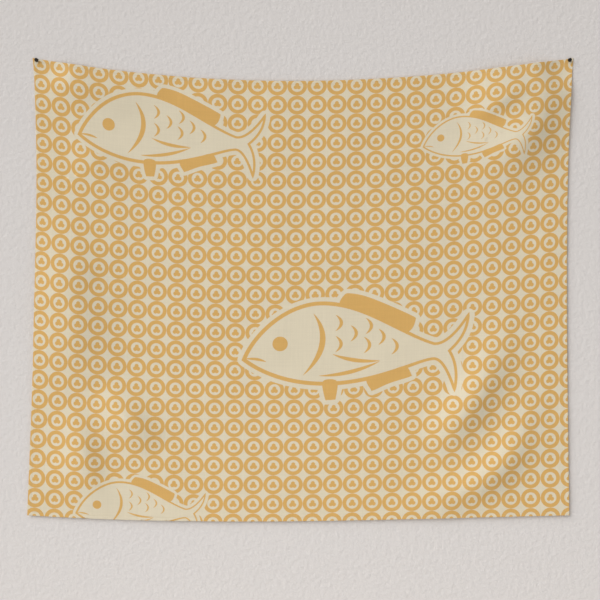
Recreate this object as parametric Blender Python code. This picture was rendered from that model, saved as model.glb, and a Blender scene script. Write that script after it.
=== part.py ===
"""Printed wall tapestry that hangs from a push pin at each of its top corners.

Units are metres. The wall is the plane y = 0 and the room is towards -Y, with +X to
the right and +Z up. The origin is on the wall, midway between the two pins.

A point of the cloth is named by where it lay when the cloth was flat: s runs across
from the middle, and t runs down from the top edge. hang() says where that point goes
when the cloth is hung, and every soft piece is a slab laid over the hung cloth.
"""
import math

import bmesh
import bpy
import numpy as np

# Cloth, measured flat after hemming.
CLOTH_WIDTH = 1.524
CLOTH_HEIGHT = 1.295
CLOTH_THICKNESS = 0.0004

# Hems, turned to the back twice and sewn with a lockstitch.
HEM_WIDTH = 0.0125
HEM_TURNS = 2
SEAM_INSET = 0.0105          # from the finished edge to the row of stitches
THREAD_DIAMETER = 0.0003

# Clearances.
PIECE_GAP = 0.0003           # between any two neighbouring pieces
WALL_GAP = 0.0003            # between the wall and the rearmost thread at the pins

# Push pins: places in the flat cloth, then the turned plastic head, then the needle.
PIN_INSET_SIDE = 0.0112
PIN_INSET_TOP = 0.0048
FLANGE_RADIUS = 0.0052
FLANGE_THICKNESS = 0.0014
WAIST_RADIUS = 0.0030
THUMB_RADIUS = 0.0048
THUMB_THICKNESS = 0.0022
HEAD_LENGTH = 0.0095
EDGE_ROUND = 0.0006          # radius of the rounded rims of the flange and the thumb end
NEEDLE_RADIUS = 0.00055
NEEDLE_IN_HEAD = 0.006
NEEDLE_IN_WALL = 0.0105
NEEDLE_POINT = 0.0025        # length of the ground point

# How the cloth hangs.
SAG_TOP = 0.0655             # drop of the middle of the top edge below its corners
SAG_BOTTOM = 0.0165          # the same along the bottom edge
SAG_POWER_LEFT = 1.8         # how pointed the sag is on each side: 2 is a parabola
SAG_POWER_RIGHT = 2.15
SAG_SKEW = -0.0095           # moves the lowest place to the left of the middle
EDGE_TAKE_UP = 0.0062        # share of the height that ripples in the side edges take up
PINCH = 0.0155               # pull of each side edge towards the middle
PINCH_POWER = 0.7            # puts the tightest place above mid height
LEAN = -0.0135               # sideways drift of the bottom edge
LEAN_POWER = 1.3             # puts most of that drift in the lower half
HANG_TOP = 0.004             # distance that the cloth hangs off the wall, beyond the pins'
HANG_BOTTOM = 0.006
FLAT_RADIUS = 0.016          # the cloth is flat on the wall this near to a pin
FADE_RADIUS = 0.110          # and hangs quite free this far from one

# Folds. Each is a ridge along a curve through three places, given as shares of the
# half width (-1 left, 1 right) and of the height (0 top, 1 bottom), with its height,
# its reach to the left and to the right hand of someone who walks along that curve in
# front of the cloth, and where along it the ridge is highest.
FOLDS = (
    ((0.980, -0.160), (0.850, 0.110), (0.660, 0.350), 0.023, 0.084, 0.140, 0.50),
    ((0.850, 0.030), (0.722, 0.072), (0.570, 0.122), 0.014, 0.034, 0.095, 0.50),
    ((0.930, 0.100), (0.800, 0.170), (0.590, 0.240), 0.009, 0.050, 0.045, 0.40),
    ((0.800, 0.500), (0.665, 0.710), (0.450, 0.865), 0.023, 0.058, 0.058, 0.62),
    ((0.880, 0.680), (0.720, 0.895), (0.330, 0.965), 0.020, 0.050, 0.046, 0.52),
    ((-0.890, 0.250), (-0.865, 0.520), (-0.800, 0.800), 0.025, 0.090, 0.110, 0.52),
    ((-0.860, 0.730), (-0.800, 0.860), (-0.750, 1.000), 0.018, 0.046, 0.070, 0.50),
    ((-0.760, 0.700), (-0.630, 0.780), (-0.500, 0.850), 0.022, 0.050, 0.052, 0.50),
    ((-0.980, 0.010), (-0.830, 0.040), (-0.560, 0.080), 0.015, 0.042, 0.050, 0.50),
    ((-0.900, 0.190), (-0.780, 0.205), (-0.620, 0.260), 0.009, 0.045, 0.075, 0.50),
)
FOLD_SAMPLES = 24

# Mesh density.
INNER_COLUMNS = 36
INNER_ROWS = 30
ROUND_SEGMENTS = 32
NEEDLE_SEGMENTS = 16
ARC_STEPS = 4
WAIST_STEPS = 8

# Colours (linear RGB), roughness and metallic value.
FINISHES = {
    "printed_cloth": ((0.665, 0.515, 0.262), 0.85, 0.0),
    "hem_cloth": ((0.600, 0.470, 0.250), 0.88, 0.0),
    "sewing_thread": ((0.640, 0.560, 0.380), 0.60, 0.0),
    "pin_plastic": ((0.012, 0.011, 0.010), 0.30, 0.0),
    "pin_steel": ((0.560, 0.570, 0.580), 0.25, 1.0),
}

# Distances from the middle of the cloth's thickness, positive towards the room.
PANEL_FACE = CLOTH_THICKNESS / 2
HEM_FACE = -PANEL_FACE - PIECE_GAP
HEM_BACK = HEM_FACE - HEM_TURNS * CLOTH_THICKNESS
FACE_THREAD_LOW = PANEL_FACE + PIECE_GAP
BACK_THREAD_HIGH = HEM_BACK - PIECE_GAP
PIN_STANDOFF = WALL_GAP + THREAD_DIAMETER - BACK_THREAD_HIGH

PIN_PLACE = CLOTH_WIDTH / 2 - PIN_INSET_SIDE


def clear_scene():
    for obj in list(bpy.data.objects):
        bpy.data.objects.remove(obj, do_unlink=True)


def finish_material(name):
    """The material for a finish, made the first time that it is asked for."""
    if name in bpy.data.materials:
        return bpy.data.materials[name]
    colour, roughness, metallic = FINISHES[name]
    material = bpy.data.materials.new(name)
    material.use_nodes = True
    shader = material.node_tree.nodes["Principled BSDF"]
    shader.inputs["Base Color"].default_value = (*colour, 1.0)
    shader.inputs["Roughness"].default_value = roughness
    shader.inputs["Metallic"].default_value = metallic
    return material


def new_object(name, vertices, faces, finish):
    """A mesh object from its vertices and faces, with its faces turned outwards."""
    mesh = bpy.data.meshes.new(name)
    mesh.from_pydata(vertices, [], faces)
    work = bmesh.new()
    work.from_mesh(mesh)
    bmesh.ops.recalc_face_normals(work, faces=work.faces)
    work.to_mesh(mesh)
    work.free()
    mesh.materials.append(finish_material(finish))
    obj = bpy.data.objects.new(name, mesh)
    bpy.context.scene.collection.objects.link(obj)
    return obj


# ---------------------------------------------------------------- the hung cloth


def smooth_step(value):
    value = np.clip(value, 0.0, 1.0)
    return value * value * (3.0 - 2.0 * value)


def fold_height(s, t, start, middle, end, height, left_reach, right_reach, peak):
    """Height of one fold at the cloth's points s, t."""
    share = np.linspace(0.0, 1.0, FOLD_SAMPLES)[:, None]
    scale = np.array((CLOTH_WIDTH / 2, CLOTH_HEIGHT))
    first, bend, last = (np.array(place) * scale for place in (start, middle, end))
    control = 2 * bend - (first + last) / 2
    curve = (1 - share) ** 2 * first + 2 * share * (1 - share) * control + share**2 * last

    nearest = np.full(s.shape, np.inf)
    along = np.zeros(s.shape)
    side = np.zeros(s.shape)
    for step in range(FOLD_SAMPLES - 1):
        origin = curve[step]
        run = curve[step + 1] - origin
        ds = s - origin[0]
        dt = t - origin[1]
        part = np.clip((ds * run[0] + dt * run[1]) / (run @ run), 0.0, 1.0)
        distance = np.hypot(ds - part * run[0], dt - part * run[1])
        closer = distance < nearest
        nearest = np.where(closer, distance, nearest)
        along = np.where(closer, (step + part) / (FOLD_SAMPLES - 1), along)
        side = np.where(closer, ds * run[1] - dt * run[0], side)

    reach = np.where(side > 0, left_reach, right_reach)
    rise = smooth_step(along / peak)
    fall = smooth_step((1 - along) / (1 - peak))
    return height * rise * fall * np.exp(-((nearest / reach) ** 2))


def stand_off(s, t):
    """How far the middle of the cloth's thickness is from the wall."""
    down = t / CLOTH_HEIGHT
    to_pin = np.hypot(np.abs(s) - PIN_PLACE, t - PIN_INSET_TOP)
    free = smooth_step((to_pin - FLAT_RADIUS) / (FADE_RADIUS - FLAT_RADIUS))
    away = HANG_TOP + (HANG_BOTTOM - HANG_TOP) * down
    for fold in FOLDS:
        away = away + fold_height(s, t, *fold)
    return PIN_STANDOFF + free * away


def sag_drop(s, t):
    """How far a point of the cloth is below the line through its top corners."""
    across = 2 * s / CLOTH_WIDTH
    depth = SAG_TOP + (SAG_BOTTOM - SAG_TOP) * t / CLOTH_HEIGHT
    power = np.where(s < 0, SAG_POWER_LEFT, SAG_POWER_RIGHT)
    skew = SAG_SKEW * across * (1 - across**2)
    return t * (1 - EDGE_TAKE_UP) + depth * (1 - np.abs(across) ** power) + skew


def hang(s, t):
    """Where points of the flat cloth are when it hangs, as an array of x, y, z."""
    s = np.asarray(s, dtype=float)
    t = np.asarray(t, dtype=float)
    across = 2 * s / CLOTH_WIDTH
    down = np.clip(t / CLOTH_HEIGHT, 0.0, 1.0)
    pull = PINCH * np.sin(math.pi * down**PINCH_POWER) * across**3
    x = s - pull + LEAN * down**LEAN_POWER
    z = sag_drop(PIN_PLACE, PIN_INSET_TOP) - sag_drop(s, t)
    return np.stack((x, -stand_off(s, t), z), axis=-1)


def hang_layer(s, t, offset):
    """Points at an offset from the middle of the hung cloth, along its own normal."""
    step = 1e-4
    across = hang(s + step, t) - hang(s - step, t)
    down = hang(s, t + step) - hang(s, t - step)
    normal = np.cross(down, across)
    normal /= np.linalg.norm(normal, axis=-1, keepdims=True)
    return hang(s, t) + offset * normal


# ------------------------------------------------------------------- soft pieces


def grid_lines(length, inner_count):
    """Places of the mesh lines along one side.

    They lie on the seam and the hem's inner edge, beside the flat patch round a pin,
    and evenly between the two patches.
    """
    near = np.array((0.0, SEAM_INSET, HEM_WIDTH))
    patch = PIN_INSET_SIDE + FLAT_RADIUS
    inner = np.linspace(patch, length - patch, inner_count + 1)
    return np.concatenate((near, inner, length - near[::-1]))


def slab(name, columns, rows, low, high, finish):
    """A closed slab over the hung cloth, between two offsets from its middle."""
    s, t = np.meshgrid(columns, rows)
    wide = len(columns)
    tall = len(rows)
    layers = [hang_layer(s, t, offset).reshape(-1, 3) for offset in (high, low)]
    vertices = np.concatenate(layers)
    count = wide * tall
    faces = []
    for row in range(tall - 1):
        for column in range(wide - 1):
            a = row * wide + column
            b = a + 1
            c = a + wide
            d = c + 1
            faces += [(a, c, d), (a, d, b)]
            faces += [(count + a, count + d, count + c), (count + a, count + b, count + d)]
    top = list(range(wide))
    right = [row * wide + wide - 1 for row in range(1, tall)]
    bottom = [(tall - 1) * wide + column for column in range(wide - 2, -1, -1)]
    left = [row * wide for row in range(tall - 2, 0, -1)]
    rim = top + right + bottom + left
    for here, after in zip(rim, rim[1:] + rim[:1]):
        faces.append((here, after, count + after, count + here))
    return new_object(name, vertices.tolist(), faces, finish)


def make_cloth():
    """The panel, its four hems and the two threads of each hem's seam."""
    columns = grid_lines(CLOTH_WIDTH, INNER_COLUMNS) - CLOTH_WIDTH / 2
    rows = grid_lines(CLOTH_HEIGHT, INNER_ROWS)
    panel = slab("cloth_panel", columns, rows, -PANEL_FACE, PANEL_FACE, "printed_cloth")

    # The top and bottom hems run the full width, and the side hems fit between them.
    side_rows = rows[2:-2].copy()
    side_rows[0] += PIECE_GAP
    side_rows[-1] -= PIECE_GAP
    hem_top = slab("hem_top", columns, rows[:3], HEM_BACK, HEM_FACE, "hem_cloth")
    slab("hem_bottom", columns, rows[-3:], HEM_BACK, HEM_FACE, "hem_cloth")
    slab("hem_left", columns[:3], side_rows, HEM_BACK, HEM_FACE, "hem_cloth")
    slab("hem_right", columns[-3:], side_rows, HEM_BACK, HEM_FACE, "hem_cloth")

    half_thread = THREAD_DIAMETER / 2
    levels = {
        "face_thread": (FACE_THREAD_LOW, FACE_THREAD_LOW + THREAD_DIAMETER),
        "back_thread": (BACK_THREAD_HIGH - THREAD_DIAMETER, BACK_THREAD_HIGH),
    }
    for kind, (low, high) in levels.items():
        for end, line in (("top", rows[1]), ("bottom", rows[-2])):
            band = (line - half_thread, line + half_thread)
            slab(f"{kind}_{end}", columns[1:-1], band, low, high, "sewing_thread")
        for end, line in (("left", columns[1]), ("right", columns[-2])):
            band = (line - half_thread, line + half_thread)
            slab(f"{kind}_{end}", band, side_rows, low, high, "sewing_thread")
    return panel, hem_top


# -------------------------------------------------------------------- push pins


def arc(centre, radius, start, end, steps=ARC_STEPS):
    """Points along an arc, in the plane of a turned profile, from start to end degrees."""
    angles = [math.radians(start + (end - start) * k / steps) for k in range(steps + 1)]
    return [(centre[0] + radius * math.cos(a), centre[1] + radius * math.sin(a)) for a in angles]


def turned(name, profile, segments, place, finish):
    """A solid turned about the pin's axis.

    The profile lists (radius, distance out of the wall). It starts and ends on the
    axis, where the radius is 0.
    """
    rings = profile[1:-1]
    vertices = [(0.0, -profile[0][1], 0.0), (0.0, -profile[-1][1], 0.0)]
    for radius, out in rings:
        for k in range(segments):
            angle = 2 * math.pi * k / segments
            vertices.append((radius * math.cos(angle), -out, radius * math.sin(angle)))
    faces = []
    for k in range(segments):
        after = (k + 1) % segments
        faces.append((0, 2 + k, 2 + after))
        last = 2 + (len(rings) - 1) * segments
        faces.append((1, last + after, last + k))
        for ring in range(len(rings) - 1):
            here = 2 + ring * segments
            there = here + segments
            faces.append((here + k, there + k, there + after, here + after))
    obj = new_object(name, vertices, faces, finish)
    obj.location = place
    obj.data.shade_smooth()
    obj.data.set_sharp_from_angle(angle=math.radians(35))
    return obj


def head_profile(base):
    """Half outline of the plastic head, from its thumb face back to its socket."""
    tip = base + HEAD_LENGTH
    thumb_low = tip - THUMB_THICKNESS
    flange_high = base + FLANGE_THICKNESS
    thumb_corner = (THUMB_RADIUS - EDGE_ROUND, tip - EDGE_ROUND)
    flange_corner = (FLANGE_RADIUS - EDGE_ROUND, flange_high - EDGE_ROUND)
    outline = [(0.0, tip)]
    outline += arc(thumb_corner, EDGE_ROUND, 90, 0)
    # The waist is a cosine curve that is narrowest halfway.
    for k in range(WAIST_STEPS + 1):
        share = k / WAIST_STEPS
        wide = THUMB_RADIUS - EDGE_ROUND
        radius = WAIST_RADIUS + (wide - WAIST_RADIUS) * (0.5 + 0.5 * math.cos(2 * math.pi * share))
        outline.append((radius, thumb_low + (flange_high - thumb_low) * share))
    outline += arc(flange_corner, EDGE_ROUND, 90, 0)
    outline += [(FLANGE_RADIUS, base)]
    socket_radius = NEEDLE_RADIUS + PIECE_GAP
    socket_end = base + NEEDLE_IN_HEAD + PIECE_GAP
    outline += [(socket_radius, base), (socket_radius, socket_end), (0.0, socket_end)]
    return outline


def needle_profile(base):
    """Half outline of the needle, from its end in the head to its point in the wall."""
    blunt = base + NEEDLE_IN_HEAD
    shoulder = -NEEDLE_IN_WALL + NEEDLE_POINT
    outline = [(0.0, blunt), (NEEDLE_RADIUS, blunt)]
    outline += [(NEEDLE_RADIUS, shoulder), (0.0, -NEEDLE_IN_WALL)]
    return outline


def cut_needle_hole(cutter, pieces):
    for piece in pieces:
        modifier = piece.modifiers.new(cutter.name, "BOOLEAN")
        modifier.operation = "DIFFERENCE"
        modifier.object = cutter


def make_pin(side, sign, pierced):
    """A push pin, and the hole that its needle makes in the cloth."""
    place = hang(sign * PIN_PLACE, PIN_INSET_TOP)
    place[1] = 0.0
    base = PIN_STANDOFF + PANEL_FACE + PIECE_GAP
    turned(f"{side}_pin_head", head_profile(base), ROUND_SEGMENTS, place, "pin_plastic")
    turned(f"{side}_pin_needle", needle_profile(base), NEEDLE_SEGMENTS, place, "pin_steel")

    hole_radius = NEEDLE_RADIUS + PIECE_GAP
    hole_profile = [(0.0, base), (hole_radius, base), (hole_radius, 0.0), (0.0, 0.0)]
    cutter = turned(f"{side}_needle_hole", hole_profile, NEEDLE_SEGMENTS, place, "pin_steel")
    cutter.hide_render = True
    cutter.display_type = "WIRE"
    cut_needle_hole(cutter, pierced)


def main():
    clear_scene()
    pierced = make_cloth()
    make_pin("left", -1, pierced)
    make_pin("right", 1, pierced)


main()
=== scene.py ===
"""The looks of a printed wall tapestry that hangs from two push pins.

Units are metres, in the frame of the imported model: the wall is y = 0, the room is
towards -Y and +Z is up. A point of the cloth is named by s, across from the middle of
the flat cloth, and t, down from its top edge. hang() says where it goes.
"""
import math

import bpy
import numpy as np
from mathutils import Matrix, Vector
from mathutils.geometry import delaunay_2d_cdt


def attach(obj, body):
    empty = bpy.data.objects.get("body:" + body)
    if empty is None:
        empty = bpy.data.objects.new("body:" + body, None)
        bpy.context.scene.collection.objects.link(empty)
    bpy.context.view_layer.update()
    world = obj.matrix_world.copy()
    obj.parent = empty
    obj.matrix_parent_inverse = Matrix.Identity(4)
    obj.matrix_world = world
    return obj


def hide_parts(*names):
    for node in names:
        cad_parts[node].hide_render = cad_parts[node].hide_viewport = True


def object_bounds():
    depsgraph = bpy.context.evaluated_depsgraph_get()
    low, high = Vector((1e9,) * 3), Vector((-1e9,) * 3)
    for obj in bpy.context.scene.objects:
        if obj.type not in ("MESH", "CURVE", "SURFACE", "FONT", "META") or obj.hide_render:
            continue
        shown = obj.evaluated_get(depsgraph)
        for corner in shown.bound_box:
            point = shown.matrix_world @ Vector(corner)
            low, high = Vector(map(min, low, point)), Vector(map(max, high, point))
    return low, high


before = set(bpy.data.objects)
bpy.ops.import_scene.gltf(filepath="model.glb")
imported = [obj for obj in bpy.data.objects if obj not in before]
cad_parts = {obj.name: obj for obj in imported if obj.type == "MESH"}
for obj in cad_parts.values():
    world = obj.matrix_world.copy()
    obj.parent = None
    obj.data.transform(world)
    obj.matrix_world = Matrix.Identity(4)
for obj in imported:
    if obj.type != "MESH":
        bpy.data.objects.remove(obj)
cad_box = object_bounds()

# ---- sizes, as in the CAD

CLOTH_WIDTH = 1.524
CLOTH_HEIGHT = 1.295
CLOTH_THICKNESS = 0.0004
HEM_WIDTH = 0.0125
SEAM_INSET = 0.0105
THREAD_DIAMETER = 0.0003
PIECE_GAP = 0.0003
WALL_GAP = 0.0003
PIN_INSET_SIDE = 0.0112
PIN_INSET_TOP = 0.0048
HEM_TURNS = 2

SAG_TOP = 0.0655
SAG_BOTTOM = 0.0165
SAG_POWER_LEFT = 1.8
SAG_POWER_RIGHT = 2.15
SAG_SKEW = -0.0095
EDGE_TAKE_UP = 0.0062
PINCH = 0.0155
PINCH_POWER = 0.7
LEAN = -0.0135
LEAN_POWER = 1.3
HANG_TOP = 0.004
HANG_BOTTOM = 0.006
FLAT_RADIUS = 0.016
FADE_RADIUS = 0.110

FLANGE_RADIUS = 0.0052
FLANGE_THICKNESS = 0.0014
WAIST_RADIUS = 0.0030
THUMB_RADIUS = 0.0048
THUMB_THICKNESS = 0.0022
HEAD_LENGTH = 0.0095
EDGE_ROUND = 0.0006
NEEDLE_RADIUS = 0.00055
NEEDLE_IN_HEAD = 0.006
NEEDLE_IN_WALL = 0.0105
NEEDLE_POINT = 0.0025

# Ridges of the drape: start, middle and end as shares of the half width and of the
# height, then height, reach to the left and to the right hand of someone who walks
# along it in front of the cloth, and where along it the ridge is highest.
FOLDS = (
    ((0.980, -0.160), (0.850, 0.110), (0.660, 0.350), 0.023, 0.084, 0.140, 0.50),
    ((0.850, 0.030), (0.722, 0.072), (0.570, 0.122), 0.014, 0.034, 0.095, 0.50),
    ((0.930, 0.100), (0.800, 0.170), (0.590, 0.240), 0.009, 0.050, 0.045, 0.40),
    ((0.800, 0.500), (0.665, 0.710), (0.450, 0.865), 0.023, 0.058, 0.058, 0.62),
    ((0.880, 0.680), (0.720, 0.895), (0.330, 0.965), 0.020, 0.050, 0.046, 0.52),
    ((-0.890, 0.250), (-0.865, 0.520), (-0.800, 0.800), 0.025, 0.090, 0.110, 0.52),
    ((-0.860, 0.730), (-0.800, 0.860), (-0.750, 1.000), 0.018, 0.046, 0.070, 0.50),
    ((-0.760, 0.700), (-0.630, 0.780), (-0.500, 0.850), 0.022, 0.050, 0.052, 0.50),
    ((-0.980, 0.010), (-0.830, 0.040), (-0.560, 0.080), 0.015, 0.042, 0.050, 0.50),
    ((-0.900, 0.190), (-0.780, 0.205), (-0.620, 0.260), 0.009, 0.045, 0.075, 0.50),
)
FOLD_SAMPLES = 24

# What the real cloth adds to that shape.
RIPPLE = 0.0011              # height of each small wave, as a share of its length
RIPPLE_LENGTHS = np.linspace(0.060, 0.210, 14)
RIPPLE_SEED = 7
ROLL_WIDTH = 0.0009          # how far in from its edge the cloth starts to turn, and how deep
ROLL_DEPTH = 0.0012
SEAM_DIP = 0.0002
SEAM_DIP_WIDTH = 0.0012
SLOPE_STEP = 0.0001          # the distance over which slopes of the cloth are taken

PANEL_FACE = CLOTH_THICKNESS / 2
HEM_FACE = -PANEL_FACE - PIECE_GAP
HEM_BACK = HEM_FACE - HEM_TURNS * CLOTH_THICKNESS
BACK_THREAD_HIGH = HEM_BACK - PIECE_GAP
PIN_STANDOFF = WALL_GAP + THREAD_DIAMETER - BACK_THREAD_HIGH
PIN_PLACE = CLOTH_WIDTH / 2 - PIN_INSET_SIDE
PIN_BASE = PIN_STANDOFF + PANEL_FACE + PIECE_GAP
NEEDLE_HOLE = NEEDLE_RADIUS + PIECE_GAP

# ---- the print

RING_PITCH = 0.0558
FIRST_RING = (-CLOTH_WIDTH / 2 + 0.0201, 0.0155)
RING_OUTER = 0.0276
RING_INNER = 0.0168
DOT_RADIUS = 0.0056
DOT_PLACES = ((0.0, -0.0042), (-0.0044, 0.0034), (0.0044, 0.0034))

# Each fish: the tip of its snout (s, t), its length and the weight of its lines.
FISH = (
    (-0.634, 0.198, 0.527, 1.00),
    (0.3406, 0.209, 0.305, 0.74),
    (-0.159, 0.820, 0.633, 1.00),
    (-0.624, 1.280, 0.361, 0.84),
)
# A fish of length 1, snout at (0, 0), y up. It repeats the drawing in the photo, and has yet to be
# replaced by a motif of its own. Its outline is a chain of cubic curves: each line is two handles
# and an end, from the end of the line before.
FISH_OUTLINE = (
    ((0.046, 0.122), (0.185, 0.258), (0.338, 0.260)),
    ((0.530, 0.262), (0.690, 0.112), (0.846, 0.056)),
    ((0.895, 0.048), (0.955, 0.110), (1.000, 0.180)),
    ((0.995, 0.105), (0.960, 0.060), (0.915, 0.020)),
    ((0.945, -0.030), (0.954, -0.095), (0.938, -0.158)),
    ((0.915, -0.085), (0.885, -0.016), (0.846, -0.013)),
    ((0.770, -0.014), (0.600, -0.113), (0.370, -0.113)),
    ((0.200, -0.113), (0.075, -0.058), (0.000, 0.000)),
)
OUTLINE_HALF = 0.0092         # half the line's width, and what it tapers to at the tail
TAIL_HALF = 0.0064
TAPER_START = 0.60
TAPER_LENGTH = 0.25
FIN_SPAN = 0.06               # about what lies between two corners of a fin
FISH_FINS = (
    ((0.425, 0.252), (0.440, 0.294), (0.470, 0.304), (0.560, 0.280), (0.735, 0.196),
     (0.762, 0.168), (0.722, 0.116), (0.606, 0.178), (0.500, 0.226)),
    ((0.352, -0.102), (0.362, -0.182), (0.376, -0.189), (0.400, -0.188), (0.410, -0.180),
     (0.414, -0.102)),
    ((0.548, -0.092), (0.566, -0.146), (0.580, -0.148), (0.650, -0.118), (0.738, -0.092),
     (0.745, -0.080), (0.716, -0.042), (0.640, -0.064)),
)
# Tapered strokes: start, handle, end and greatest width.
FISH_STROKES = (
    ((0.306, 0.214), (0.410, 0.075), (0.262, -0.074), 0.0260),
    ((0.004, 0.004), (0.060, 0.008), (0.100, -0.010), 0.0125),
    ((0.392, 0.024), (0.490, -0.020), (0.606, -0.012), 0.0180),
    ((0.606, -0.014), (0.470, -0.078), (0.332, -0.076), 0.0180),
)
SCALE_TICKS = ((0.405, 0.168), (0.405, 0.070), (0.472, 0.118), (0.539, 0.150),
               (0.532, 0.062), (0.596, 0.098), (0.655, 0.052))
TICK_HEIGHT = 0.076
TICK_BULGE = 0.052
TICK_WIDTH = 0.0150
EYE_PLACE = (0.160, 0.074)
EYE_RADIUS = 0.034
HALO = 0.0200                 # clear margin around a fish, as a share of its length
INSIDE_MARGIN = -0.05         # the least value that the margin takes inside a fish
CURVE_STEP = 0.0032           # spacing of points along the printed curves
STROKE_FULLNESS = 0.8
MITRE_LIMIT = 0.45

# ---- mesh densities

GRID_STEP = 0.0070
GRID_CLEARANCE = 0.45         # no grid point is left nearer to a shape, in steps
# Mesh lines at these distances in from each edge of the cloth.
EDGE_LINES = (0.0, 0.0001, 0.0003, ROLL_WIDTH, 0.0050, SEAM_INSET - SEAM_DIP_WIDTH, SEAM_INSET,
              SEAM_INSET + SEAM_DIP_WIDTH, HEM_WIDTH + 0.0008)
HOLE_SEGMENTS = 20
HEM_HOLE_SEGMENTS = 24
PIN_SEGMENTS = 96
NEEDLE_SEGMENTS = 48
CHUNK = 2000                  # how many points are measured at a time

# ---- hems, threads and pins

HEM_STEP = 0.0040
HEM_GROOVE = 0.00035          # depth to which the stitches pull a hem in, from behind
GROOVE_WIDTH = 0.0005
HEM_BACK_POINTS = (0.0115, 0.0111, 0.0108, 0.0105, 0.0102, 0.0099, 0.0093, 0.0080, 0.0060,
                   0.0040, 0.0025)
HEM_FACE_POINTS = (0.0035, 0.0060, 0.0090)
STITCH_LENGTH = 0.0035
STITCH_SAMPLES = 5
STITCH_SIDES = 5
STITCH_RIDE = 1.15            # height of the thread's middle over the cloth, in radii
STITCH_SLANT = 0.7            # how far each stitch slants, in radii
STITCH_SHARPNESS = 8          # how sudden its dip into the cloth is
# The thumb face of a pin, with its dish and gate mark, as radius and depth.
THUMB_FACE = ((0.0, 0.00022), (0.0006, 0.00020), (0.0009, 0.00008), (0.0016, 0.00004),
              (0.0027, 0.0))
SMALL_ROUND = 0.0002          # rounding of the flange's foot and the socket's mouth
NEEDLE_ROUND = 0.0001
WAIST_ROWS = np.linspace(0.04, 0.96, 22)
POINT_ROWS = np.linspace(0.0, 0.97, 9)
POINT_POWER = 1.6
BAKE_GAP = 0.004              # gap between the panel's face and back in its bake map
BAKE_ROWS = 8                 # rows that a long strip is folded into in its own
BAKE_ROW_START = 0.04         # where the strip starts in a row, and its share of the row
BAKE_ROW_SHARE = 0.90
BAKE_HEIGHT = 0.97
CAP_PLACE = 0.985             # where the two end caps are in that map, and their size
CAP_SIZE = 0.008

# ---- the drape


def smooth_step(value):
    value = np.clip(value, 0.0, 1.0)
    return value * value * (3.0 - 2.0 * value)


def fold_height(s, t, start, middle, end, height, left_reach, right_reach, peak):
    """Height of one fold at the cloth's points s, t."""
    share = np.linspace(0.0, 1.0, FOLD_SAMPLES)[:, None]
    scale = np.array((CLOTH_WIDTH / 2, CLOTH_HEIGHT))
    first, bend, last = (np.array(place) * scale for place in (start, middle, end))
    control = 2 * bend - (first + last) / 2
    curve = (1 - share) ** 2 * first + 2 * share * (1 - share) * control + share**2 * last

    nearest = np.full(s.shape, np.inf)
    along = np.zeros(s.shape)
    side = np.zeros(s.shape)
    for step in range(FOLD_SAMPLES - 1):
        origin = curve[step]
        run = curve[step + 1] - origin
        ds = s - origin[0]
        dt = t - origin[1]
        part = np.clip((ds * run[0] + dt * run[1]) / (run @ run), 0.0, 1.0)
        distance = np.hypot(ds - part * run[0], dt - part * run[1])
        closer = distance < nearest
        nearest = np.where(closer, distance, nearest)
        along = np.where(closer, (step + part) / (FOLD_SAMPLES - 1), along)
        side = np.where(closer, ds * run[1] - dt * run[0], side)

    reach = np.where(side > 0, left_reach, right_reach)
    rise = smooth_step(along / peak)
    fall = smooth_step((1 - along) / (1 - peak))
    return height * rise * fall * np.exp(-((nearest / reach) ** 2))


def free_share(s, t):
    """0 on the flat patch round each pin, 1 where the cloth hangs free of both."""
    to_pin = np.hypot(np.abs(s) - PIN_PLACE, t - PIN_INSET_TOP)
    return smooth_step((to_pin - FLAT_RADIUS) / (FADE_RADIUS - FLAT_RADIUS))


def stand_off(s, t):
    """How far the middle of the cloth's thickness is from the wall."""
    away = HANG_TOP + (HANG_BOTTOM - HANG_TOP) * t / CLOTH_HEIGHT
    for fold in FOLDS:
        away = away + fold_height(s, t, *fold)
    return PIN_STANDOFF + free_share(s, t) * away


def sag_drop(s, t):
    """How far a point of the cloth is below the line through its top corners."""
    across = 2 * s / CLOTH_WIDTH
    depth = SAG_TOP + (SAG_BOTTOM - SAG_TOP) * t / CLOTH_HEIGHT
    power = np.where(s < 0, SAG_POWER_LEFT, SAG_POWER_RIGHT)
    skew = SAG_SKEW * across * (1 - across**2)
    return t * (1 - EDGE_TAKE_UP) + depth * (1 - np.abs(across) ** power) + skew


def hang(s, t):
    """Where points of the flat cloth are when it hangs, as an array of x, y, z."""
    across = 2 * s / CLOTH_WIDTH
    down = np.clip(t / CLOTH_HEIGHT, 0.0, 1.0)
    pull = PINCH * np.sin(math.pi * down**PINCH_POWER) * across**3
    x = s - pull + LEAN * down**LEAN_POWER
    z = sag_drop(PIN_PLACE, PIN_INSET_TOP) - sag_drop(s, t)
    return np.stack((x, -stand_off(s, t), z), axis=-1)


def edge_inset(s, t):
    return np.minimum(CLOTH_WIDTH / 2 - np.abs(s), np.minimum(t, CLOTH_HEIGHT - t))


def ripple(s, t):
    """Slight unevenness of the hung cloth: a few long waves that cross each other."""
    rng = np.random.default_rng(RIPPLE_SEED)
    total = np.zeros(s.shape)
    for wavelength in RIPPLE_LENGTHS:
        angle = rng.uniform(0, math.pi)
        phase = rng.uniform(0, 2 * math.pi)
        run = s * math.cos(angle) + t * math.sin(angle)
        total += wavelength * np.sin(2 * math.pi * run / wavelength + phase)
    return RIPPLE * total * free_share(s, t)


def lift(s, t):
    """How far the real cloth stands out of the smooth drape that hang() gives.

    It turns back round its folded edge and dips where the seam pulls it in.
    """
    inset = edge_inset(s, t)
    turn = np.clip((ROLL_WIDTH - inset) / ROLL_WIDTH, 0, 1)
    roll = ROLL_DEPTH * (1 - np.sqrt(1 - turn**2))
    dip = SEAM_DIP * np.exp(-(((inset - SEAM_INSET) / SEAM_DIP_WIDTH) ** 2))
    return ripple(s, t) - roll - dip


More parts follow.
